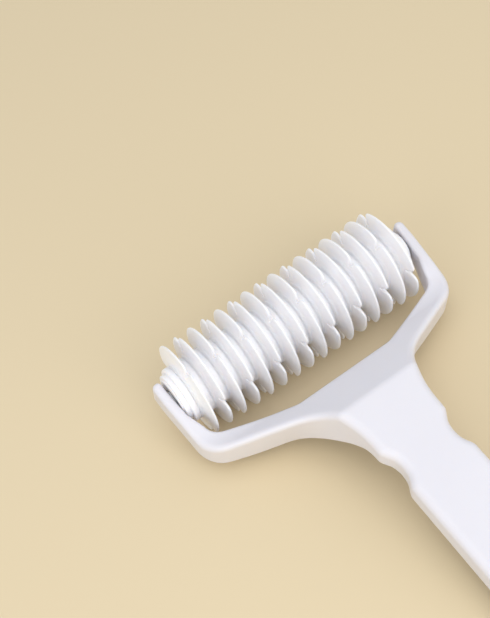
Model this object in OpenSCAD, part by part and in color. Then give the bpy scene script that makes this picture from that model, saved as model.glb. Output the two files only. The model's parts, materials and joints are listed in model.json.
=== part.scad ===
// Lattice pastry cutter wheel: sixteen thin cutting discs stacked on one
// keyed axle, running between the two arms of a cranked one-piece handle.
// Millimetres. X runs along the axle, +Y points away from the handle,
// Z = 0 is the worktop the cutter rests on (disc rims and handle end touch it).

/* [Roller] */
// number of cutting discs that sets the length of the stack
disc_count = 16; // [8:2:20]
// distance from one cutting disc to the next along the axle
disc_pitch = 6.7; // [5:0.1:9]
// radius of the cutting edge from the axle centre
edge_r = 20.4; // [16:0.1:26]
// number of cutting edges (petals) round each disc
petals = 3; // [2:1:6]
// radius of the bottom of the gap between two petals
gap_r = 14.6; // [13.5:0.1:18]
// half-angle over which a petal end rounds down into the gap
gap_half = 12; // [6:0.5:20]
// thickness of a petal at the cutting edge
edge_t = 0.9; // [0.5:0.1:1.6]
// thickness of a petal where it leaves the hub
root_t = 2.2; // [1.4:0.1:3]
// radius of the hub barrel between the discs
hub_r = 12.2; // [10:0.1:14]
// radius of the narrow shoulder on the left side of each disc
shoulder_r = 13.6; // [12.5:0.1:15]
// how far the hub reaches to the left of the petal plane
hub_left = 2.5; // [1.5:0.1:3]

/* [Axle] */
// width across the flats of the square keyed middle of the axle
key_w = 8; // [6:0.1:10]
// radius of the round journal at each end of the axle
journal_r = 3.5; // [2.5:0.1:4.5]
// radial running clearance between journal and socket
journal_gap = 0.06; // [0.03:0.01:0.1]
// play between the square axle and the square hole of a disc, per side
key_gap = 0.05; // [0:0.01:0.1]
// radius of the middle step of the left collar
collar_r = 10.5; // [8:0.1:12]
// radius of the last step of the left collar, next to the arm
boss_r = 8.8; // [6:0.1:10]
// radius of the thin flange of the right collar, against the last disc
flange_r = 10.8; // [8:0.1:12]
// radius of the narrow sleeve of the right collar
sleeve_r = 6.8; // [6.5:0.1:9]

/* [Fork] */
// overall width over the outside of the two arms
fork_w = 126; // [100:1:160]
// thickness of an arm at the axle
arm_t = 4.4; // [3:0.1:7]
// height of an arm
arm_h = 12; // [9:0.5:16]
// how far the arm tips reach past the axle centre
arm_tip = 8; // [6:0.5:12]
// height of the handle surface above the axle where the crank ends
crank_h = 34.8; // [20:0.1:45]
// depth of the blind socket in each arm that takes the journal
socket_d = 3.0; // [2:0.1:3.6]

/* [Handle] */
// distance from the axle centre back to the end of the handle
handle_reach = 174; // [140:1:200]
// half-width of the straight part of the handle
grip_half = 14.75; // [11:0.1:18]
// depth of the finger scallop on each side
scallop_d = 2.65; // [0:0.05:5]
// thickness of the stiffening ribs under the handle
rib_t = 1.8; // [1.2:0.1:3]
// radius of the hanging hole near the end of the handle
hang_r = 4; // [2.5:0.1:6]
// distance from the end of the handle to the hanging hole
hang_in = 12; // [9:0.5:20]

/* [Hidden] */
$fn = 96;

white = [0.94, 0.94, 0.96];

// disc stack along the axle, centred on the petal planes
hub_right = disc_pitch - hub_left;
x_first = -(disc_count - 1) / 2 * disc_pitch;
stack_left = x_first - hub_left;
stack_right = -x_first + hub_right;
half_w = fork_w / 2;
arm_in = half_w - arm_t;
y_end = -handle_reach;

// ---- Outline helpers ----

function reversed(points) = [for (i = [len(points) - 1 : -1 : 0]) points[i]];
function mirrored(points) = [for (p = reversed(points)) [-p[0], p[1]]];

// points of a round blend at a corner, between two travel directions in degrees
function blend(corner, dir_in, dir_out, radius, steps) =
    let (turn = dir_out - dir_in,
         side = turn > 0 ? 1 : -1,
         tangent = radius * tan(abs(turn) / 2),
         start = corner - tangent * [cos(dir_in), sin(dir_in)],
         centre = start + radius * side * [-sin(dir_in), cos(dir_in)])
    [for (i = [0 : steps])
        let (a = dir_in + turn * i / steps)
        centre + radius * side * [sin(a), -cos(a)]];

// ---- Handle side profile: [y, z] from the axle centre ----

arm_top = arm_h / 2;
profile_front = 20;         // both profile ends overrun the plan outline,
profile_back = y_end - 6;   // which trims them
ramp_y = -26.7;             // top corner where the crank starts to climb
ramp_angle = 49.04;
crease_y = ramp_y - (crank_h - arm_top) / tan(ramp_angle);
top_slope = 0.123;          // rise per length of the grip, top and underside
under_slope = 0.09;
under_start = [-35.3, -arm_top];
under_crease = [-68, 27.2];

function top_z(y) = crank_h + top_slope * (crease_y - y);
function under_z(y) = under_crease[1] + under_slope * (under_crease[0] - y);

ramp_dir = 180 - ramp_angle;
under_dir = 180 - atan((under_crease[1] - under_start[1]) / (under_start[0] - under_crease[0]));
side_profile = concat(
    [[profile_front, arm_top]],
    blend([ramp_y, arm_top], 180, ramp_dir, 16, 10),
    blend([crease_y, crank_h], ramp_dir, 180 - atan(top_slope), 3, 5),
    [[profile_back, top_z(profile_back)], [profile_back, under_z(profile_back)]],
    reversed(concat(
        blend(under_start, 180, under_dir, 14, 8),
        blend(under_crease, under_dir, 180 - atan(under_slope), 10, 8))),
    [[profile_front, -arm_top]]);

// ---- Handle plan: [x, y], right half from the arm tip back ----

tip_r = arm_t / 2;
diag_slope = 0.418;         // outer edge running diagonally in to the neck
diag_point = [56, -31.4];
corner_x = half_w - 1.7;
corner_y = diag_point[1] + (corner_x - diag_point[0]) * diag_slope;
neck = [[37.4, -39.2], [33.8, -40.75], [30.1, -42.4], [26.6, -44.3],
        [23.6, -46.4], [21.4, -48.5], [19.85, -50.5], [18.6, -52.7]];
// finger hollow: [y, share of its full depth]
scallop = [[-72.5, -0.27], [-73.5, -0.11], [-75.2, 0.26], [-77.1, 0.68],
           [-79.5, 0.92], [-82, 1], [-84.5, 0.91], [-86.4, 0.68],
           [-88.4, 0.28], [-90, 0.05], [-91, 0]];
scallop_back = -91;
grip_taper = 0.004;

function grip_w(y) = grip_half - grip_taper * (scallop_back - y);

end_r = grip_w(y_end + 14);
// every point but the last, which lies on the centre line
outer_half = concat(
    [[arm_in + tip_r, arm_tip]],
    [for (a = [80 : -20 : 0]) [half_w - tip_r + tip_r * cos(a), arm_tip - tip_r + tip_r * sin(a)]],
    [[half_w, -1]],
    blend([corner_x, corner_y], -93.2, -180 + atan(diag_slope), 13, 10),
    neck,
    // parabola easing the neck into the grip
    [for (y = [-56 : -3 : -68]) [15.6 + pow(y + 68, 2) / 78, y]],
    [[15.5, -71.2]],
    [for (p = scallop) [grip_half - scallop_d * p[1], p[0]]],
    [[grip_w(scallop_back - 2), scallop_back - 2.5]],
    [for (a = [0 : 10 : 80]) [end_r * cos(a), y_end + end_r - end_r * sin(a)]]);
outer_plan = concat(outer_half, [[0, y_end]], mirrored(outer_half));

// opening between the arms
inner_lean = 0.6;           // the arms' inner faces lean in towards the handle
inner_corner = [54.8, -22.3];
inner_kink = [22.2, -34.3];
inner_dir = -180 + atan((inner_corner[1] - inner_kink[1]) / (inner_corner[0] - inner_kink[0]));
inner_half = concat(
    [[arm_in + inner_lean, arm_tip + 30], [arm_in + inner_lean, arm_tip],
     [arm_in, -2], [arm_in - inner_lean, -10]],
    blend(inner_corner, -97, inner_dir, 7.5, 8),
    blend(inner_kink, inner_dir, -180, 9, 4));
inner_plan = concat(inner_half, mirrored(inner_half));

// ---- Hollow underside ----

pocket_base = -20;          // below the whole handle
pocket_roof_t = 3;
pocket_back = y_end + 21;
// side profile of the hollow: [y, z]
pocket_profile = [
    [-29.5, 3.4], [-33, 8.4], [-36, 12.6],
    [crease_y + 1.2, crank_h - 4.9],
    [crease_y - 3, top_z(crease_y - 3) - pocket_roof_t],
    [y_end, top_z(y_end) - pocket_roof_t],
    [y_end, pocket_base], [-29.5, pocket_base]];
// right half of the hollow in plan: [x, y]
pocket_plan = [
    [49.5, -27.2], [22.6, -37.2], [0, -37.2], [0, -52], [0, pocket_back],
    [11.4, pocket_back], [11.6, -96], [8.9, -86], [8.7, -79], [12.2, -71],
    [12.9, -58], [15.4, -53], [17.4, -49.3], [24.3, -42.6], [30.5, -39.3],
    [37, -36.6], [47.5, -32.1]];
rib_h = 90;                 // ribs fill the hollow to its roof
cross_rib_y = [-66, -104, -120, -136];
// ribs running along Y: [x, y of the back end, length]
long_ribs = [[-15, -66, 30], [0, -66, 30], [15, -66, 30], [-30, -60, 34], [30, -60, 34]];

// ---- Placing ----

// rest attitude: the cutter leans back on the end of its handle
end_z = under_z(y_end);
rest_tilt = atan2(end_z, handle_reach) + asin(edge_r / norm([handle_reach, end_z]));
far_y = y_end * cos(rest_tilt) - top_z(y_end) * sin(rest_tilt);
axle_y = -(far_y + edge_r) / 2;

module place() translate([0, axle_y, edge_r]) rotate([rest_tilt, 0, 0]) children();

// local z -> X, local x -> Y, local y -> Z
module along_x(x) translate([x, 0, 0]) rotate([90, 0, 90]) children();

// extrudes a flat outline from one z to another
module upright(bottom, top)
    translate([0, 0, bottom]) linear_extrude(height = top - bottom) children();

// ---- Handle ----

module pocket() for (side = [0, 1]) mirror([side, 0, 0]) intersection() {
    along_x(0) linear_extrude(height = 60) polygon(pocket_profile);
    upright(pocket_base, 60) polygon(pocket_plan);
}

module ribs() {
    for (y = cross_rib_y)
        translate([-20, y - rib_t / 2, pocket_base]) cube([40, rib_t, rib_h]);
    for (rib = long_ribs)
        translate([rib[0] - rib_t / 2, rib[1], pocket_base]) cube([rib_t, rib[2], rib_h]);
}

// blind sockets for the journals, cut from between the arms
module sockets() {
    cut_length = 10;
    for (side = [-1, 1])
        translate([side * (arm_in + socket_d - cut_length / 2), 0, 0]) rotate([0, 90, 0])
            cylinder(r = journal_r + journal_gap, h = cut_length, center = true);
}

// hanging hole, square to the top of the handle
module hanging_hole() {
    y = y_end + hang_in;
    translate([0, y, top_z(y)]) rotate([-atan(top_slope), 0, 0])
        cylinder(r = hang_r, h = 50, center = true);
}

module handle() place() color(white) difference() {
    intersection() {
        along_x(-half_w - 1) linear_extrude(height = fork_w + 2) polygon(side_profile);
        upright(-30, 70) polygon(outer_plan);
    }
    upright(-40, 80) polygon(inner_plan);
    difference() {
        pocket();
        ribs();
    }
    sockets();
    hanging_hole();
}

// ---- Axle and collars ----

journal_end_gap = 0.3;      // between a journal end and its socket floor
key_extra = 4.4;            // square part's length beyond that of the disc stack

// collar steps: [radius, z of the left face, length], z = 0 at the disc stack
left_collar_w = 5.2;
left_steps = [[hub_r, -2.65, 2.65], [collar_r, -4.7, 3], [boss_r, -left_collar_w, 3]];
right_collar_w = 3;
right_steps = [[flange_r, 0, 0.6], [sleeve_r, 0, right_collar_w]];

module axle_shaft() place() color(white) {
    rotate([0, 90, 0])
        cylinder(r = journal_r, h = 2 * (arm_in + socket_d - journal_end_gap), center = true);
    cube([stack_right - stack_left + key_extra, key_w, key_w], center = true);
}

// square hole along local z, running 1 mm past both faces
module key_hole(bottom, top) {
    width = key_w + 2 * key_gap;
    translate([-width / 2, -width / 2, bottom - 1]) cube([width, width, top - bottom + 2]);
}

module collar(steps, bottom, top) difference() {
    for (step = steps) translate([0, 0, step[1]]) cylinder(r = step[0], h = step[2]);
    key_hole(bottom, top);
}

module end_collar_left() place() color(white)
    along_x(stack_left) collar(left_steps, -left_collar_w, 0);

module end_collar_right() place() color(white)
    along_x(stack_right) collar(right_steps, 0, right_collar_w);

// ---- Cutting discs ----

shoulder_w = 1.6;
web_in_r = 2;               // inner radius of the revolved web, inside the key hole
bevel_r = 0.6;              // bevel of the cutting edge, along the radius
bevel_t = 0.3;              // and through the thickness

// right half of the web section: [radius, z], going out and back
web_half = [[web_in_r, -root_t / 2], [hub_r, -root_t / 2],
            [edge_r - bevel_r, -edge_t / 2], [edge_r, -edge_t / 2 + bevel_t]];
web_section = concat(web_half, [for (p = reversed(web_half)) [p[0], -p[1]]]);

// gap between two petals: both petal ends round over like a quarter ellipse
gap_steps = 9;
function gap_radius(t) = gap_r + (edge_r - gap_r) * sqrt(1 - pow(1 - t, 2));
gap_side = [for (i = [0 : gap_steps])
    let (t = pow(i / gap_steps, 1.6), a = gap_half * t)
    gap_radius(t) * [sin(a), cos(a)]];
gap_outline = concat(
    mirrored([for (i = [1 : gap_steps]) gap_side[i]]),
    gap_side,
    [[edge_r, edge_r + 3], [-edge_r, edge_r + 3]]);

// the disc lies in local xy, its left face looks along -z
module disc_body(turn) difference() {
    union() {
        difference() {
            rotate_extrude($fn = 180) polygon(web_section);
            for (k = [0 : petals - 1])
                rotate([0, 0, turn + k * 360 / petals]) upright(-3, 3) polygon(gap_outline);
        }
        translate([0, 0, -hub_left]) cylinder(r = hub_r, h = hub_left + hub_right);
        translate([0, 0, -shoulder_w]) cylinder(r = shoulder_r, h = shoulder_w);
    }
    key_hole(-hub_left, hub_right);
}

// gaps of odd discs sit at the top, even discs are turned half a petal
module disc(i) place() color(white)
    along_x(x_first + (i - 1) * disc_pitch) disc_body(i % 2 == 1 ? 0 : 180 / petals);

module cutting_disc_01() disc(1);
module cutting_disc_02() disc(2);
module cutting_disc_03() disc(3);
module cutting_disc_04() disc(4);
module cutting_disc_05() disc(5);
module cutting_disc_06() disc(6);
module cutting_disc_07() disc(7);
module cutting_disc_08() disc(8);
module cutting_disc_09() disc(9);
module cutting_disc_10() disc(10);
module cutting_disc_11() disc(11);
module cutting_disc_12() disc(12);
module cutting_disc_13() disc(13);
module cutting_disc_14() disc(14);
module cutting_disc_15() disc(15);
module cutting_disc_16() disc(16);

handle();
axle_shaft();
end_collar_left();
end_collar_right();
cutting_disc_01();
cutting_disc_02();
cutting_disc_03();
cutting_disc_04();
cutting_disc_05();
cutting_disc_06();
cutting_disc_07();
cutting_disc_08();
cutting_disc_09();
cutting_disc_10();
cutting_disc_11();
cutting_disc_12();
cutting_disc_13();
cutting_disc_14();
cutting_disc_15();
cutting_disc_16();
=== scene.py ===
# Lattice roller cutter: sixteen three-petalled discs on a keyed axle, held by a forked handle.
# Part frame, in mm from the axle centre: x along the axle, y away from the grip, z up.
# The whole part is leaned about x so that the disc rims and the grip's end rest on the floor.
import bmesh
import bpy
import json
from itertools import product
from math import (acos, asin, atan, atan2, cos, degrees, hypot, pi, radians, sin, sqrt, tan)
import numpy as np
from mathutils import Matrix, Vector


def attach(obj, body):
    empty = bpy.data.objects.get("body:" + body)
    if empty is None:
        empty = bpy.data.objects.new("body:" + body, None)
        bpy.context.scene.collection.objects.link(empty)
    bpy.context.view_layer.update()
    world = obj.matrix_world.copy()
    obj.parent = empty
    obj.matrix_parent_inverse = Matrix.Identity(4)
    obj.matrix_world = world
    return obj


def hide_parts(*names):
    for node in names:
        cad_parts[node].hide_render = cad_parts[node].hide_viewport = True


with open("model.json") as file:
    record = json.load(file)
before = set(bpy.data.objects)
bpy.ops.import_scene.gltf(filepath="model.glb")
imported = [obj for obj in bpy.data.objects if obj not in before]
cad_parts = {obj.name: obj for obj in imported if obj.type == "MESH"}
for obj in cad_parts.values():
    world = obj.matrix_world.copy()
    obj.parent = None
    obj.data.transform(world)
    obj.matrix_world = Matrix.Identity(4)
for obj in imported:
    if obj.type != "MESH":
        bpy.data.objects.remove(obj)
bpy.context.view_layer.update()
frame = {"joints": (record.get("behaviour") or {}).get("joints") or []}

MM = 0.001

# ---------------------------------------------------------------- driving sizes (mm, degrees)
# discs: rim, slit bottom and half gap angle between petals
EDGE_R, GAP_R, GAP_HALF, PETALS = 20.4, 14.85, 12.5, 3
PITCH, COUNT = 6.7, 16
EDGE_T, ROOT_T = 0.9, 2.2                      # blade thickness at the rim and at the hub
HUB_R, SHOULDER_R = 12.2, 13.6
HUB_LEFT = 2.5                                 # hub length on each side of the blade
HUB_RIGHT = PITCH - HUB_LEFT
STACK_X0 = -(COUNT - 1) / 2 * PITCH            # first disc
STACK_LEFT, STACK_RIGHT = STACK_X0 - HUB_LEFT, -STACK_X0 + HUB_RIGHT
# axle
KEY_W, KEY_GAP = 8.0, 0.05
JOURNAL_R, JOURNAL_GAP, SOCKET_D, COLLAR_R = 3.5, 0.06, 3.0, 10.5
# handle
FORK_W, ARM_T, ARM_H, ARM_TIP, CRANK_H = 126.0, 4.4, 12.0, 8.0, 34.8
REACH, GRIP_HALF = 174.0, 14.75
RIB_T, HANG_R, HANG_IN = 1.8, 4.0, 12.0
HALF_W, ARM_IN = FORK_W / 2, FORK_W / 2 - ARM_T
Y_END = -REACH

# handle side view: ramp up from the arms, a crease, then a gently rising grip
TOP_Z, RAMP_Y0, RAMP_A = ARM_H / 2, -26.7, 49.04
CREASE_Y = RAMP_Y0 - (CRANK_H - TOP_Z) / tan(radians(RAMP_A))
TOP_SLOPE, LOW_SLOPE = 0.123, 0.09
LOW_Y0, LOW_Y1, LOW_Z1 = -35.3, -68.0, 27.2    # corners of the underside


def top_line(y):
    return CRANK_H + TOP_SLOPE * (CREASE_Y - y)


def low_line(y):
    return LOW_Z1 + LOW_SLOPE * (LOW_Y1 - y)


END_Z = low_line(Y_END)
TILT = atan2(END_Z, REACH) + asin(EDGE_R / hypot(REACH, END_Z))
AXLE = Vector(frame["joints"][0]["pos_m"])
LEAN = Matrix.Translation(AXLE) @ Matrix.Rotation(TILT, 4, "X")
PLACE = LEAN @ Matrix.Scale(MM, 4)


# ---------------------------------------------------------------- mesh helpers
def add_object(name, data):
    obj = bpy.data.objects.new(name, data)
    bpy.context.scene.collection.objects.link(obj)
    return obj


def make_object(name, verts, faces, mat, body, replaced):
    """smooth mesh object from part-frame vertices; all faces have the same corner count"""
    mesh = bpy.data.meshes.new(name)
    place = np.array(PLACE)
    verts = np.asarray(verts, np.float64) @ place[:3, :3].T + place[:3, 3]
    faces = np.asarray(faces, np.int32)
    mesh.vertices.add(len(verts))
    mesh.vertices.foreach_set("co", verts.astype(np.float32).ravel())
    mesh.loops.add(faces.size)
    mesh.loops.foreach_set("vertex_index", faces.ravel())
    mesh.polygons.add(len(faces))
    starts = np.arange(0, faces.size, faces.shape[1], dtype=np.int32)
    mesh.polygons.foreach_set("loop_start", starts)
    mesh.update(calc_edges=True)
    mesh.polygons.foreach_set("use_smooth", np.full(len(faces), True))
    mesh.validate()
    mesh.update()
    mesh.materials.append(mat)
    obj = add_object(name, mesh)
    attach(obj, body)
    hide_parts(replaced)
    return obj


def grid_faces(rows, cols, wrap_cols=True):
    """quads over a grid of vertices (index = row * cols + col) whose rows close up"""
    row, col = np.meshgrid(np.arange(rows), np.arange(cols if wrap_cols else cols - 1),
                           indexing="ij")
    row2, col2 = (row + 1) % rows, (col + 1) % cols
    quads = [row * cols + col, row2 * cols + col, row2 * cols + col2, row * cols + col2]
    return np.stack(quads, -1).reshape(-1, 4)


def orient_out(verts, quads):
    """flip all quads if the mesh is inside out"""
    a, b, c, d = (verts[quads[:, k]] for k in range(4))
    volume = (np.einsum("ij,ij->i", a, np.cross(b, c))
              + np.einsum("ij,ij->i", a, np.cross(c, d))).sum()
    return quads if volume > 0 else quads[:, ::-1].copy()


# ---------------------------------------------------------------- outline helpers
def arc_pts(corner, dir_in, dir_out, radius, steps):
    """points of a round blend at a corner between two directions (degrees)"""
    turn = dir_out - dir_in
    side = 1 if turn > 0 else -1
    setback = radius * tan(radians(abs(turn) / 2))
    heading = radians(dir_in)
    start = (corner[0] - setback * cos(heading), corner[1] - setback * sin(heading))
    centre = (start[0] - radius * side * sin(heading), start[1] + radius * side * cos(heading))
    pts = []
    for i in range(steps + 1):
        angle = radians(dir_in + turn * i / steps)
        pts.append((centre[0] + radius * side * sin(angle),
                    centre[1] - radius * side * cos(angle)))
    return pts


def mirror_pts(pts):
    return [(-p[0], p[1]) for p in reversed(pts)]


def smooth_curve(table, steps=5):
    """Catmull-Rom points (x, y) through a table of (y, x)"""
    knots = np.array(table, float)
    pts = []
    for before, start, end, after in zip(knots, knots[1:], knots[2:], knots[3:]):
        for k in range(steps):
            t = k / steps
            pts.append(0.5 * (2 * start + (end - before) * t
                              + (2 * before - 5 * start + 4 * end - after) * t * t
                              + (3 * start - before - 3 * end + after) * t ** 3))
    return [(x, y) for y, x in pts]


def round_profile(corners, steps=6):
    """closed (x, r) loop from (x, r, corner radius)"""
    pts = []
    for i, (x, r, radius) in enumerate(corners):
        corner = np.array((x, r), float)
        if radius <= 0:
            pts.append((x, r))
            continue
        back = np.array(corners[i - 1][:2], float) - corner
        ahead = np.array(corners[(i + 1) % len(corners)][:2], float) - corner
        len_back, len_ahead = np.linalg.norm(back), np.linalg.norm(ahead)
        back, ahead = back / len_back, ahead / len_ahead
        angle = acos(float(back @ ahead))
        setback = min(radius / tan(angle / 2), 0.49 * len_back, 0.49 * len_ahead)
        radius = setback * tan(angle / 2)
        bisector = (back + ahead) / np.linalg.norm(back + ahead)
        centre = corner + bisector * (radius / sin(angle / 2))
        start = atan2(*(corner + back * setback - centre)[::-1])
        end = atan2(*(corner + ahead * setback - centre)[::-1])
        sweep = (end - start + pi) % (2 * pi) - pi
        for k in range(steps + 1):
            phi = start + sweep * k / steps
            pts.append((centre[0] + radius * cos(phi), centre[1] + radius * sin(phi)))
    return pts


# ---------------------------------------------------------------- distance field helpers
def sd_poly(points, poly):
    """signed distance of points (n, 2) to a closed polygon, negative inside"""
    poly = np.asarray(poly, float)
    dist2 = np.full(len(points), 1e18)
    inside = np.zeros(len(points), bool)
    x, y = points[:, 0], points[:, 1]
    for i in range(len(poly)):
        ax, ay = poly[i - 1]
        bx, by = poly[i]
        ex, ey = bx - ax, by - ay
        len2 = ex * ex + ey * ey
        if len2 < 1e-12:
            continue
        wx, wy = x - ax, y - ay
        t = np.clip((wx * ex + wy * ey) / len2, 0, 1)
        dx, dy = wx - ex * t, wy - ey * t
        np.minimum(dist2, dx * dx + dy * dy, out=dist2)
        if ay != by:
            spans = (ay > y) != (by > y)
            inside ^= spans & (x < (bx - ax) * (y - ay) / (by - ay) + ax)
    dist = np.sqrt(dist2)
    return np.where(inside, -dist, dist)


def round_max(a, b, r):
    """intersection with a rounded edge of radius r"""
    u = np.maximum(r + a, 0)
    v = np.maximum(r + b, 0)
    return np.minimum(-r, np.maximum(a, b)) + np.sqrt(u * u + v * v)


def smooth_step(start, end, x):
    t = np.clip((x - start) / (end - start), 0, 1)
    return t * t * (3 - 2 * t)


CUBE = list(product((0, 1), repeat=3))


def surface_nets(field, origin, cell):
    """zero surface of a sampled field: one vertex per crossed cell, one quad per crossed edge"""
    nx, ny, nz = field.shape
    inside = field < 0
    ones = inside.astype(np.int8)
    count = sum(ones[i:nx - 1 + i, j:ny - 1 + j, k:nz - 1 + k] for i, j, k in CUBE)
    active = np.argwhere((count > 0) & (count < 8))
    index = np.full((nx - 1, ny - 1, nz - 1), -1, np.int32)
    index[active[:, 0], active[:, 1], active[:, 2]] = np.arange(len(active))
    value = {(i, j, k): field[active[:, 0] + i, active[:, 1] + j, active[:, 2] + k]
             for i, j, k in CUBE}
    total = np.zeros((len(active), 3))
    hits = np.zeros(len(active))
    for near in CUBE:
        for axis in range(3):
            if near[axis]:
                continue
            far = near[:axis] + (1,) + near[axis + 1:]
            crossed = (value[near] < 0) != (value[far] < 0)
            drop = np.where(crossed, value[near] - value[far], 1)
            point = np.zeros((len(active), 3)) + np.array(near, float)
            point[:, axis] = np.where(crossed, value[near] / drop, 0)
            total += point * crossed[:, None]
            hits += crossed
    verts = (active + total / hits[:, None]) * cell + origin
    quads = []
    for axis, (u, v) in enumerate([(1, 2), (2, 0), (0, 1)]):
        low, high = [slice(1, -1)] * 3, [slice(1, -1)] * 3
        low[axis] = slice(0, -1)
        high[axis] = slice(1, None)
        low_in, high_in = inside[tuple(low)], inside[tuple(high)]
        edges = np.argwhere(low_in != high_in)
        leaving = low_in[edges[:, 0], edges[:, 1], edges[:, 2]]
        cells = edges + 1
        cells[:, axis] -= 1
        ring = []
        for du, dv in ((-1, -1), (0, -1), (0, 0), (-1, 0)):
            near = cells.copy()
            near[:, u] += du
            near[:, v] += dv
            ring.append(index[near[:, 0], near[:, 1], near[:, 2]])
        ring = np.stack(ring, -1)
        ring[~leaving] = ring[~leaving][:, ::-1]
        quads.append(ring)
    return verts, np.concatenate(quads)


def sample_grid(field, origin, cell, points):
    """trilinear reading of a sampled field"""
    grid = (points - origin) / cell
    base = np.clip(np.floor(grid).astype(int), 0, np.array(field.shape) - 2)
    t = grid - base
    out = 0
    for corner in CUBE:
        weight = np.prod(np.where(corner, t, 1 - t), axis=1)
        i, j, k = (base + corner).T
        out = out + weight * field[i, j, k]
    return out


# ---------------------------------------------------------------- handle outlines
# side view (y, z), from past the arm tips to past the grip's end
SIDE_START, SIDE_END = 20, Y_END - 6
top_a = 180 - degrees(atan(TOP_SLOPE))
low_ramp_a = 180 - degrees(atan((LOW_Z1 + ARM_H / 2) / (LOW_Y0 - LOW_Y1)))
top_edge = ([(SIDE_START, TOP_Z)]
            + arc_pts((RAMP_Y0, TOP_Z), 180, 180 - RAMP_A, 16, 24)
            + arc_pts((CREASE_Y, CRANK_H), 180 - RAMP_A, top_a, 4.2, 14)
            + [(SIDE_END, top_line(SIDE_END))])
low_edge = ([(SIDE_START, -ARM_H / 2)]
            + arc_pts((LOW_Y0, -ARM_H / 2), 180, low_ramp_a, 14, 18)
            + arc_pts((LOW_Y1, LOW_Z1), low_ramp_a, 180 - degrees(atan(LOW_SLOPE)), 10, 18)
            + [(SIDE_END, low_line(SIDE_END))])
SIDE = top_edge + low_edge[::-1]
TOP_EDGE, LOW_EDGE = np.array(top_edge)[::-1], np.array(low_edge)[::-1]    # y rising

# half width of the scalloped waist of the grip: (y, x)
SCALLOP = [
    (-69.5, 15.58), (-71.2, 15.52), (-72.5, 15.45), (-73.5, 15.05), (-75.2, 14.05),
    (-77.1, 12.95), (-79.5, 12.3), (-82.0, 12.1), (-84.5, 12.35), (-86.4, 12.95),
    (-88.4, 14.0), (-90.0, 14.62), (-91.0, 14.75), (-92.5, 14.75)]
GRIP_Y0 = -91.0                                # the plain, slightly tapering grip starts here
# upper and lower edge of the outer wall round the neck: (y, x)
TOP_NECK = [
    (-37.65, 41.0), (-39.2, 37.4), (-40.75, 33.8), (-42.4, 30.1), (-44.3, 26.6), (-46.4, 23.6),
    (-48.5, 21.4), (-50.5, 19.85), (-52.7, 18.6), (-55.5, 17.6), (-58.5, 16.76),
    (-61.5, 16.14), (-64.5, 15.76), (-67.0, 15.61), (-69.0, 15.59), (-70.5, 15.55)]
LOW_NECK = [
    (-38.7, 39.0), (-40.25, 34.9), (-41.55, 31.5), (-43.25, 28.3), (-46.05, 25.3),
    (-49.25, 22.95), (-52.7, 20.95), (-56.3, 19.2), (-60.0, 17.65), (-63.9, 16.45),
    (-67.0, 15.85), (-69.0, 15.65), (-70.5, 15.55)]


def grip_half(y):
    return GRIP_HALF - 0.004 * (GRIP_Y0 - y)


def plan_outline(slope, through, neck):
    """outer (x, y) outline; the fork's slanting back wall passes through a point at a slope"""
    tip_r = 2.2
    corner_x = HALF_W - 1.7                    # the arms lean in slightly towards the corner
    corner = (corner_x, through[1] + (corner_x - through[0]) * slope)
    end_r = grip_half(Y_END + 14)
    pts = [(ARM_IN + tip_r, ARM_TIP)]
    pts += [(HALF_W - tip_r + tip_r * cos(radians(a)), ARM_TIP - tip_r + tip_r * sin(radians(a)))
            for a in range(80, -1, -10)]
    pts += [(HALF_W, -1)]
    pts += arc_pts(corner, -93.2, -180 + degrees(atan(slope)), 13, 18)
    pts += smooth_curve(neck)
    pts += [p for p in smooth_curve(SCALLOP) if p[1] > -92]
    pts += [(grip_half(y), y) for y in (-94, -110)]
    pts += [(end_r * cos(radians(a)), Y_END + end_r - end_r * sin(radians(a)))
            for a in range(0, 88, 5)]
    pts += [(0, Y_END)]
    return pts + mirror_pts(pts[:-1])


# opening between the arms, in plan (x, y)
IN_KINK, IN_CORNER = (22.2, -34.3), (54.8, -22.3)
in_a = degrees(atan((IN_CORNER[1] - IN_KINK[1]) / (IN_CORNER[0] - IN_KINK[0])))
opening_half = ([(ARM_IN + 0.6, ARM_TIP + 30), (ARM_IN + 0.6, ARM_TIP), (ARM_IN, -2),
                 (ARM_IN - 0.6, -10)]
                + arc_pts(IN_CORNER, -97, -180 + in_a, 7.5, 14)
                + arc_pts(IN_KINK, -180 + in_a, -180, 9, 8))

# pocket hollowed into the underside: ceiling in side view (y, z), walls in plan (x, y)
POCKET_SIDE = [
    (-29.5, 3.4), (-33, 8.4), (-36, 12.6), (CREASE_Y + 1.2, CRANK_H - 4.9),
    (CREASE_Y - 3, top_line(CREASE_Y - 3) - 3), (Y_END, top_line(Y_END) - 3),
    (Y_END, -30), (-29.5, -30)]
POCKET_HALF = [
    (22.6, -37.2), (49.5, -27.2), (47.5, -32.1), (37, -36.6), (30.5, -39.3), (24.3, -42.6),
    (17.4, -49.3), (15.4, -53), (12.9, -58), (12.2, -71), (8.7, -79), (8.9, -86),
    (11.6, -96), (11.4, Y_END + 21)]
CROSS_RIBS = [-66, -104, -120, -136]           # y
LONG_RIBS = [(-15, -66, -36), (0, -66, -36), (15, -66, -36),
             (-30, -60, -30), (30, -60, -30)]  # x, y from, y to

SIDE_POLYS = {"side": SIDE, "pocket_side": POCKET_SIDE}
PLAN_POLYS = {
    "outer_top": plan_outline(0.418, (56.0, -31.4), TOP_NECK),
    "outer_low": plan_outline(0.375, (55.7, -32.4), LOW_NECK),
    "opening": opening_half + mirror_pts(opening_half),
    "pocket_plan": POCKET_HALF + mirror_pts(POCKET_HALF)}
SHEARED = ("outer_top", "outer_low")           # outlines read at a shifted y

# hanging hole, square to the grip's top face: normal and centre in (y, z)
HANG_N = (sin(atan(TOP_SLOPE)), cos(atan(TOP_SLOPE)))
HANG_C = (Y_END + HANG_IN, top_line(Y_END + HANG_IN))


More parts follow.
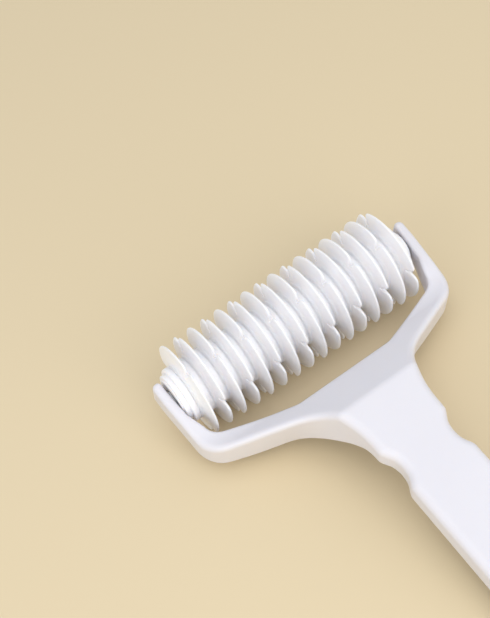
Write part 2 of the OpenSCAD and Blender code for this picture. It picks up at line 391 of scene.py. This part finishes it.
# ---------------------------------------------------------------- handle
def handle_combine(x, y, z, field):
    """handle distance from the distances to its outlines, keyed as in the two tables"""
    z_top = np.interp(y, TOP_EDGE[:, 0], TOP_EDGE[:, 1])
    z_low = np.interp(y, LOW_EDGE[:, 0], LOW_EDGE[:, 1])
    height = (z - z_low) / (z_top - z_low)
    down = np.clip(1 - height, 0, 1)
    outer = field["outer_top"] * (1 - down) + field["outer_low"] * down
    # edges are rounder above, and most so behind the arms
    upper = smooth_step(0.3, 0.7, height)
    behind = smooth_step(-14.0, -30.0, y)
    dist = round_max(field["side"], outer, 1.2 + upper * (0.7 + 1.3 * behind))
    dist = round_max(dist, -field["opening"], 0.8 + 0.5 * upper)
    # pocket with a 2.5 mm outer wall, less its ribs
    pocket = round_max(round_max(field["pocket_side"], field["pocket_plan"], 0.8),
                       outer + 2.5, 0.8)
    for rib_y in CROSS_RIBS:
        pocket = np.maximum(pocket, RIB_T / 2 - np.abs(y - rib_y))
    for rib_x, y0, y1 in LONG_RIBS:
        slab = np.maximum(np.abs(x - rib_x) - RIB_T / 2,
                          np.abs(y - (y0 + y1) / 2) - (y1 - y0) / 2)
        pocket = np.maximum(pocket, -slab)
    dist = round_max(dist, -pocket, 0.45)
    # blind journal sockets in the arms
    bore = np.sqrt(y * y + z * z) - (JOURNAL_R + JOURNAL_GAP)
    socket = np.maximum(bore, np.maximum(np.abs(x) - (ARM_IN + SOCKET_D), 50 - np.abs(x)))
    dist = round_max(dist, -socket, 0.3)
    # hanging hole
    along = (y - HANG_C[0]) * HANG_N[1] - (z - HANG_C[1]) * HANG_N[0]
    return round_max(dist, -(np.sqrt(x * x + along * along) - HANG_R), 0.9)


def shear(y, z):
    """shifted y: the grip's walls run down about square to its sloping top face"""
    depth = np.clip(np.interp(y, TOP_EDGE[:, 0], TOP_EDGE[:, 1]) - z, 0, 14)
    return y + 0.13 * depth * smooth_step(-60.0, -70.0, y)


def handle_sdf(points):
    x, y, z = points.T
    field = {name: sd_poly(points[:, 1:3], poly) for name, poly in SIDE_POLYS.items()}
    plain, sheared = points[:, :2], np.stack([x, shear(y, z)], -1)
    for name, poly in PLAN_POLYS.items():
        field[name] = sd_poly(sheared if name in SHEARED else plain, poly)
    return handle_combine(x, y, z, field)


def build_handle(mat):
    cell = 0.55
    margin = 2
    xs = np.arange(-HALF_W - margin, HALF_W + margin + cell, cell)
    ys = np.arange(Y_END - margin, ARM_TIP + margin + cell, cell)
    zs = np.arange(-ARM_H / 2 - margin, top_line(Y_END) + 3 + cell, cell)
    grid_xy = np.stack(np.meshgrid(xs, ys, indexing="ij"), -1).reshape(-1, 2)
    grid_y, grid_z = np.meshgrid(ys, zs, indexing="ij")
    grid_yz = np.stack([grid_y, grid_z], -1).reshape(-1, 2)
    plans = {name: sd_poly(grid_xy, poly).reshape(len(xs), len(ys))
             for name, poly in PLAN_POLYS.items()}
    sides = {name: sd_poly(grid_yz, poly).reshape(grid_y.shape)
             for name, poly in SIDE_POLYS.items()}
    field = np.empty((len(xs), len(ys), len(zs)), np.float32)
    sheared_y = shear(grid_y, grid_z)
    for i, x in enumerate(xs):
        layer = dict(sides)
        for name, plan in plans.items():
            layer[name] = (np.interp(sheared_y, ys, plan[i]) if name in SHEARED
                           else plan[i][:, None])
        field[i] = handle_combine(x, grid_y, grid_z, layer)
    origin = np.array([xs[0], ys[0], zs[0]])
    verts, quads = surface_nets(field, origin, cell)
    # pull the vertices onto the exact surface
    steps = np.eye(3) * (0.5 * cell)
    for _ in range(3):
        slope = np.stack([sample_grid(field, origin, cell, verts + step)
                          - sample_grid(field, origin, cell, verts - step)
                          for step in steps], -1)
        slope /= np.maximum(np.linalg.norm(slope, axis=1), 1e-9)[:, None]
        verts = verts - slope * np.clip(handle_sdf(verts), -0.4, 0.4)[:, None]
    make_object("handle_moulding", verts, quads, mat, "handle_body", "handle")


# ---------------------------------------------------------------- cutting discs
SLIT_HALF = 0.42                               # half width of the slit bottom between petals
RIM_POINTS, NOTCH_STEPS, ARC_STEPS = 420, 22, 44
BLADE_BASE_R = SHOULDER_R + 0.2
EDGE_BREAK = 0.1                               # broken edge at both ends of the hub
LEFT_FILLET_X, LEFT_FILLET_L, LEFT_FILLET_H = -1.98, 0.84, 1.35
RIGHT_FILLET_X, RIGHT_FILLET_R = 1.05, 0.9
BLADE_STEPS = 9


def square_r(theta):
    """radius of the square key hole"""
    return (KEY_W / 2 + KEY_GAP) / np.maximum(np.abs(np.cos(theta)), np.abs(np.sin(theta)))


def petal_outline():
    """closed (y, z) outline, counter-clockwise, with a gap centred on 90 degrees"""
    slit_a = degrees(SLIT_HALF / GAP_R)
    notch = []                                 # half gap, slit to rim: (angle, radius)
    for i in range(NOTCH_STEPS + 1):
        tau = (i / NOTCH_STEPS) * pi / 2
        notch.append((slit_a + (GAP_HALF - slit_a) * (1 - cos(tau)),
                      GAP_R + (EDGE_R - GAP_R) * sin(tau)))
    pts = []
    for k in range(PETALS):
        centre = 90 + k * 360 / PETALS
        pts += [(centre - a, r) for a, r in reversed(notch)]
        pts += [(centre + slit_a * t, GAP_R - SLIT_HALF * sqrt(1 - t * t))
                for t in (-0.7, -0.35, 0, 0.35, 0.7)]
        pts += [(centre + a, r) for a, r in notch]
        start, end = centre + GAP_HALF, centre + 360 / PETALS - GAP_HALF
        pts += [(start + (end - start) * i / ARC_STEPS, EDGE_R) for i in range(1, ARC_STEPS)]
    angle, r = np.radians([p[0] for p in pts]), np.array([p[1] for p in pts])
    return np.stack([r * np.cos(angle), r * np.sin(angle)], -1)


def blade_half(r):
    """half thickness of the blade at a radius"""
    return ROOT_T / 2 - (ROOT_T - EDGE_T) / 2 * np.clip((r - HUB_R) / (EDGE_R - HUB_R), 0, 1)


def disc_mesh():
    # outline at even spacing
    raw = petal_outline()
    length = np.r_[0, np.cumsum(np.linalg.norm(np.roll(raw, -1, 0) - raw, axis=1))]
    raw = np.vstack([raw, raw[:1]])
    even = np.linspace(0, length[-1], RIM_POINTS, endpoint=False)
    outline = np.stack([np.interp(even, length, raw[:, k]) for k in range(2)], -1)
    # smoothed outward normals
    tangent = np.roll(outline, -1, 0) - np.roll(outline, 1, 0)
    tangent /= np.linalg.norm(tangent, axis=1)[:, None]
    normal = np.stack([tangent[:, 1], -tangent[:, 0]], -1)
    for _ in range(3):
        normal = normal + 0.5 * (np.roll(normal, 1, 0) + np.roll(normal, -1, 0))
        normal /= np.linalg.norm(normal, axis=1)[:, None]
    # hub points follow the outline's smoothed angle
    theta = np.unwrap(np.arctan2(outline[:, 1], outline[:, 0]))
    for _ in range(6):
        theta = (theta + 0.5 * (np.r_[theta[-1] - 2 * np.pi, theta[:-1]]
                                + np.r_[theta[1:], theta[0] + 2 * np.pi])) / 2
    spoke = np.stack([np.cos(theta), np.sin(theta)], -1)
    key = square_r(theta)[:, None]

    # the rim is a half round, thinner at the slit bottoms
    outline_r = np.linalg.norm(outline, axis=1)
    rim_half = (np.minimum(blade_half(outline_r), 0.5)
                - 0.14 * (1 - smooth_step(14.5, 16.5, outline_r)))
    rim_start = outline - normal * rim_half[:, None]
    rings = []                                 # (x per point, (y, z) per point)

    def ring(x, r):
        rings.append((np.full(RIM_POINTS, float(x)), spoke * r))

    def blade(t):
        """half thickness, (y, z) and radius at a share t of the way from hub to rim"""
        pts = spoke * BLADE_BASE_R * (1 - t) + rim_start * t
        r = np.linalg.norm(pts, axis=1)
        half = np.maximum(rim_half, blade_half(r) * (1 - t ** 3) + rim_half * t ** 3)
        return half, pts, r

    # left end face and hub
    ring(-HUB_LEFT, key)
    for k in range(4):
        a = radians(90 * k / 3)
        ring(-HUB_LEFT + EDGE_BREAK - EDGE_BREAK * cos(a), HUB_R - EDGE_BREAK + EDGE_BREAK * sin(a))
    ring(-2.25, HUB_R)
    for k in range(9):
        a = radians(90 * k / 8)
        ring(LEFT_FILLET_X + LEFT_FILLET_L * sin(a), HUB_R + LEFT_FILLET_H * (1 - cos(a)))
    # blade: left face, slightly swollen at its root, then rim and right face
    for k in range(BLADE_STEPS + 1):
        t = k / BLADE_STEPS
        half, pts, r = blade(t)
        rings.append((-half - 0.13 * np.clip((15.4 - r) / 1.6, 0, 1) ** 2 * (1 - t), pts))
    for k in range(1, 8):
        a = radians(-90 + 180 * k / 8)
        rings.append((rim_half * sin(a), rim_start + normal * (rim_half * cos(a))[:, None]))
    for k in range(BLADE_STEPS, -1, -1):
        rings.append(blade(k / BLADE_STEPS)[:2])
    # right hub and end face
    for k in range(6):
        a = radians(90 * k / 5)
        ring(RIGHT_FILLET_X + RIGHT_FILLET_R * (1 - cos(a)),
             HUB_R + RIGHT_FILLET_R * (1 - sin(a)))
    for x in (2.35, 2.8, 3.3, 3.8):
        ring(x, HUB_R)
    for k in range(4):
        a = radians(90 * k / 3)
        ring(HUB_RIGHT - EDGE_BREAK + EDGE_BREAK * sin(a),
             HUB_R - EDGE_BREAK + EDGE_BREAK * cos(a))
    ring(HUB_RIGHT, key)
    verts = np.stack([np.column_stack([x, pts]) for x, pts in rings], 1).reshape(-1, 3)
    return verts, orient_out(verts, grid_faces(RIM_POINTS, len(rings)))


def build_discs(mat):
    """every second disc is turned by half a petal"""
    base, quads = disc_mesh()
    for i in range(COUNT):
        turn = 0 if i % 2 == 0 else pi / PETALS
        verts = base.copy()
        verts[:, 1] = base[:, 1] * cos(turn) - base[:, 2] * sin(turn)
        verts[:, 2] = base[:, 1] * sin(turn) + base[:, 2] * cos(turn)
        verts[:, 0] += STACK_X0 + i * PITCH
        make_object("lattice_disc_%02d" % (i + 1), verts, quads, mat, "roller",
                    "cutting_disc_%02d" % (i + 1))


# ---------------------------------------------------------------- collars and axle
# collar corners: x outward from the end of the disc stack, r, corner radius;
# r = 0 stands for the square key hole
LEFT_COLLAR = [(0, 0, 0), (5.2, 0, 0), (5.2, 8.8, 0.2), (4.7, 8.8, 0.12),
               (4.7, COLLAR_R, 0.5), (2.65, COLLAR_R, 0.25), (2.65, HUB_R, 0.5),
               (0, HUB_R, 0.35)]
RIGHT_COLLAR = [(0, 0, 0), (0, 10.8, 0.1), (0.6, 10.8, 0.2), (0.6, 6.8, 0.15),
                (3, 6.8, 0.25), (3, 0, 0)]


def build_collar(name, replaced, start, outward, corners, mat, segments=128):
    profile = np.array(round_profile([(start + outward * x, r, c) for x, r, c in corners]))
    theta = np.linspace(0, 2 * np.pi, segments, endpoint=False)[:, None]
    radii = np.where(profile[:, 1] <= 1e-6, square_r(theta), profile[:, 1])
    x = np.broadcast_to(profile[:, 0], radii.shape)
    verts = np.stack([x, radii * np.cos(theta), radii * np.sin(theta)], -1).reshape(-1, 3)
    quads = orient_out(verts, grid_faces(segments, len(profile)))
    make_object(name, verts, quads, mat, "roller", replaced)


def build_axle(mat, segments=96):
    """square shaft with round journals at its ends"""
    end_x = ARM_IN + SOCKET_D - 0.3
    square_x = (STACK_RIGHT - STACK_LEFT + 4.4) / 2
    pin_r = 0.02                               # smallest ring round each end's centre
    theta = np.linspace(0, 2 * np.pi, segments, endpoint=False) + np.pi / 4
    square = (KEY_W / 2) / np.maximum(np.abs(np.cos(theta)), np.abs(np.sin(theta)))
    square = np.minimum(square, KEY_W / 2 * 1.33)      # clipped corners
    journal = [(-end_x, pin_r), (-end_x, JOURNAL_R - 0.5), (-end_x + 0.15, JOURNAL_R - 0.15),
               (-end_x + 0.5, JOURNAL_R), (-square_x - 0.3, JOURNAL_R),
               (-square_x, JOURNAL_R + 0.15)]
    stations = [(x, np.full(segments, r)) for x, r in journal]
    stations += [(-square_x, square * 0.985), (-square_x + 0.2, square), (0, square)]
    stations += [(-x, r) for x, r in reversed(stations[:-1])]
    verts = np.stack([np.stack([np.full(segments, x), r * np.cos(theta), r * np.sin(theta)], -1)
                      for x, r in stations], 1).reshape(-1, 3)
    rings = len(stations)
    quads = orient_out(verts, grid_faces(segments, rings, wrap_cols=False))
    verts = np.vstack([verts, [[-end_x, 0, 0], [end_x, 0, 0]]])
    obj = make_object("keyed_axle", verts, quads, mat, "roller", "axle_shaft")
    # close both ends with fans
    mesh = bmesh.new()
    mesh.from_mesh(obj.data)
    mesh.verts.ensure_lookup_table()
    for centre, offset in ((len(verts) - 2, 0), (len(verts) - 1, rings - 1)):
        rim = [mesh.verts[i * rings + offset] for i in range(segments)]
        for i in range(segments):
            mesh.faces.new((mesh.verts[centre], rim[i], rim[(i + 1) % segments]))
    bmesh.ops.recalc_face_normals(mesh, faces=mesh.faces)
    for face in mesh.faces:
        face.smooth = True
    mesh.to_mesh(obj.data)
    mesh.free()


# ---------------------------------------------------------------- materials
def plastic(name, base, rough, peel, painted_corner_shade, depth, reach):
    """satin moulded plastic
    rough: mean roughness; peel: orange peel bump; painted_corner_shade: painted shade that darkens
    the corners;
    depth, reach: subsurface weight and scale (m)"""
    mat = bpy.data.materials.new(name)
    mat.use_nodes = True
    tree = mat.node_tree
    link = tree.links.new
    shader = tree.nodes["Principled BSDF"]

    def node(kind, **inputs):
        new = tree.nodes.new("ShaderNode" + kind)
        for key, value in inputs.items():
            new.inputs[key.replace("_", " ")].default_value = value
        return new

    coords = node("TexCoord").outputs["Object"]
    # slow tone drift of the moulding
    drift = node("TexNoise", Scale=22.0, Detail=3.0, Roughness=0.5)
    link(coords, drift.inputs["Vector"])
    tone = node("ValToRGB")
    dark, light = tone.color_ramp.elements
    dark.position = 0.3
    dark.color = (base[0] * 0.965, base[1] * 0.965, base[2] * 0.97, 1)
    light.position = 0.7
    light.color = (*base, 1)
    link(drift.outputs["Fac"], tone.inputs["Fac"])
    # warm painted shade in the corners, taken from ambient occlusion
    corners = node("AmbientOcclusion", Distance=0.0035)
    corners.samples = 4
    corner_shade_amount = node("MapRange", From_Min=0.15, From_Max=0.75, To_Min=painted_corner_shade, To_Max=0.0)
    link(corners.outputs["AO"], corner_shade_amount.inputs["Value"])
    mix = node("Mix")
    mix.data_type = "RGBA"
    mix.inputs["B"].default_value = (base[0] * 0.80, base[1] * 0.77, base[2] * 0.70, 1)
    link(corner_shade_amount.outputs["Result"], mix.inputs["Factor"])
    link(tone.outputs["Color"], mix.inputs["A"])
    link(mix.outputs["Result"], shader.inputs["Base Color"])
    # roughness: smears, plus hairline scratches from stretched noise
    smears = node("TexNoise", Scale=55.0, Detail=5.0, Roughness=0.6, Distortion=0.4)
    link(coords, smears.inputs["Vector"])
    smear_rough = node("MapRange", From_Min=0.3, From_Max=0.7,
                       To_Min=rough - 0.05, To_Max=rough + 0.07)
    link(smears.outputs["Fac"], smear_rough.inputs["Value"])
    stretch = node("Mapping", Rotation=(0.3, 0.5, 0.7), Scale=(60.0, 900.0, 420.0))
    link(coords, stretch.inputs["Vector"])
    hairs = node("TexNoise", Scale=1.0, Detail=2.0, Roughness=0.5)
    link(stretch.outputs["Vector"], hairs.inputs["Vector"])
    scratches = node("MapRange", From_Min=0.66, From_Max=0.74)
    link(hairs.outputs["Fac"], scratches.inputs["Value"])
    total = node("Math")
    total.operation = "MULTIPLY_ADD"
    total.inputs[1].default_value = 0.05       # roughness added by a scratch
    link(scratches.outputs["Result"], total.inputs[0])
    link(smear_rough.outputs["Result"], total.inputs[2])
    link(total.outputs["Value"], shader.inputs["Roughness"])
    # bump: orange peel, then the scratches cut in
    grain = node("TexNoise", Scale=900.0, Detail=2.0, Roughness=0.45)
    link(coords, grain.inputs["Vector"])
    peel_bump = node("Bump", Strength=peel, Distance=0.00004)
    link(grain.outputs["Fac"], peel_bump.inputs["Height"])
    scratch_bump = node("Bump", Strength=0.10, Distance=0.000006)
    scratch_bump.invert = True
    link(scratches.outputs["Result"], scratch_bump.inputs["Height"])
    link(peel_bump.outputs["Normal"], scratch_bump.inputs["Normal"])
    link(scratch_bump.outputs["Normal"], shader.inputs["Normal"])
    for key, value in {"IOR": 1.49, "Subsurface Weight": depth,
                       "Subsurface Radius": (1.0, 0.9, 0.8), "Subsurface Scale": reach,
                       "Specular IOR Level": 0.5}.items():
        shader.inputs[key].default_value = value
    return mat


# the corner darkening set for each plastic below is painted shade
mat_handle = plastic("handle_white_plastic", base=(0.765, 0.752, 0.793), rough=0.33, peel=0.30,
                     painted_corner_shade=0.15, depth=0.35, reach=0.002)
mat_disc = plastic("disc_white_plastic", base=(0.95, 0.93, 0.952), rough=0.40, peel=0.15,
                   painted_corner_shade=0.12, depth=0.85, reach=0.0028)
mat_axle = plastic("axle_white_plastic", base=(0.93, 0.918, 0.945), rough=0.38, peel=0.15,
                   painted_corner_shade=0.12, depth=0.8, reach=0.0028)

build_handle(mat_handle)
build_discs(mat_disc)
build_collar("stepped_collar_left", "end_collar_left", STACK_LEFT, -1, LEFT_COLLAR, mat_axle)
build_collar("collar_right", "end_collar_right", STACK_RIGHT, 1, RIGHT_COLLAR, mat_axle)
build_axle(mat_axle)


# ---------------------------------------------------------------- floor
def build_floor():
    mesh = bpy.data.meshes.new("floor")
    half = 3.0
    mesh.from_pydata([(-half, -half, 0), (half, -half, 0), (half, half, 0), (-half, half, 0)],
                     [], [(0, 1, 2, 3)])
    obj = add_object("floor", mesh)
    obj.location = (0, 0, -0.0002)             # just clear of the part
    mat = bpy.data.materials.new("floor_pale")
    mat.use_nodes = True
    shader = mat.node_tree.nodes["Principled BSDF"]
    shader.inputs["Base Color"].default_value = (0.74, 0.613, 0.402, 1)
    shader.inputs["Roughness"].default_value = 0.7
    mesh.materials.append(mat)


# ---------------------------------------------------------------- camera
# azimuth, elevation and target in the part frame (degrees, mm), leaned with the part
CAM_AZ, CAM_EL = radians(-36.07), radians(66.32)
CAM_TARGET, CAM_DIST = Vector((-11.81, 14.96, 0)), 550.0
CAM_LENS, CAM_SENSOR = 78.4983495, 36.0


def build_camera():
    back = Vector((sin(CAM_AZ) * cos(CAM_EL), -cos(CAM_AZ) * cos(CAM_EL), sin(CAM_EL)))
    right = (-back).cross(Vector((0, 0, 1))).normalized()
    up = right.cross(-back)
    turn = Matrix((right, up, back)).transposed().to_4x4()
    cam = bpy.data.cameras.new("camera")
    obj = add_object("camera", cam)
    obj.matrix_world = LEAN @ Matrix.Translation((CAM_TARGET + back * CAM_DIST) * MM) @ turn
    cam.sensor_fit = "AUTO"
    cam.sensor_width = CAM_SENSOR
    cam.lens = CAM_LENS
    cam.clip_start, cam.clip_end = 0.01, 20.0
    bpy.context.scene.camera = obj


# ---------------------------------------------------------------- light
# name, location, target, size (m), power (W), colour
SOFTBOXES = [
    ("key_softbox", (0.02, -0.86, 1.02), (0, 0, 0.01), (0.9, 0.9), 3.8, (1.0, 0.99, 0.98)),
    ("front_softbox", (0.10, -1.1, 0.42), (0, -0.03, 0.02), (0.9, 0.6), 3.0,
     (1.0, 0.985, 0.975)),
    ("top_softbox", (-0.10, -0.10, 1.15), (0, 0, 0.01), (0.9, 0.9), 2.0, (1.0, 1.0, 1.0)),
    ("side_softbox", (-0.95, -0.25, 0.55), (0, 0, 0.02), (0.7, 0.7), 2.3, (0.98, 0.99, 1.0))]


def build_lights():
    for name, location, target, size, power, color in SOFTBOXES:
        light = bpy.data.lights.new(name, "AREA")
        light.shape = "RECTANGLE"
        light.size, light.size_y = size
        light.energy = power
        light.color = color
        obj = add_object(name, light)
        obj.location = location
        aim = Vector(target) - Vector(location)
        obj.rotation_euler = aim.to_track_quat("-Z", "Y").to_euler()
    world = bpy.data.worlds.new("studio")
    bpy.context.scene.world = world
    world.use_nodes = True
    background = world.node_tree.nodes["Background"]
    background.inputs["Color"].default_value = (0.95, 0.97, 1.0, 1)
    background.inputs["Strength"].default_value = 0.72


build_floor()
build_camera()
build_lights()
bpy.context.scene.view_settings.view_transform = "Standard"
bpy.context.scene.view_settings.look = "None"
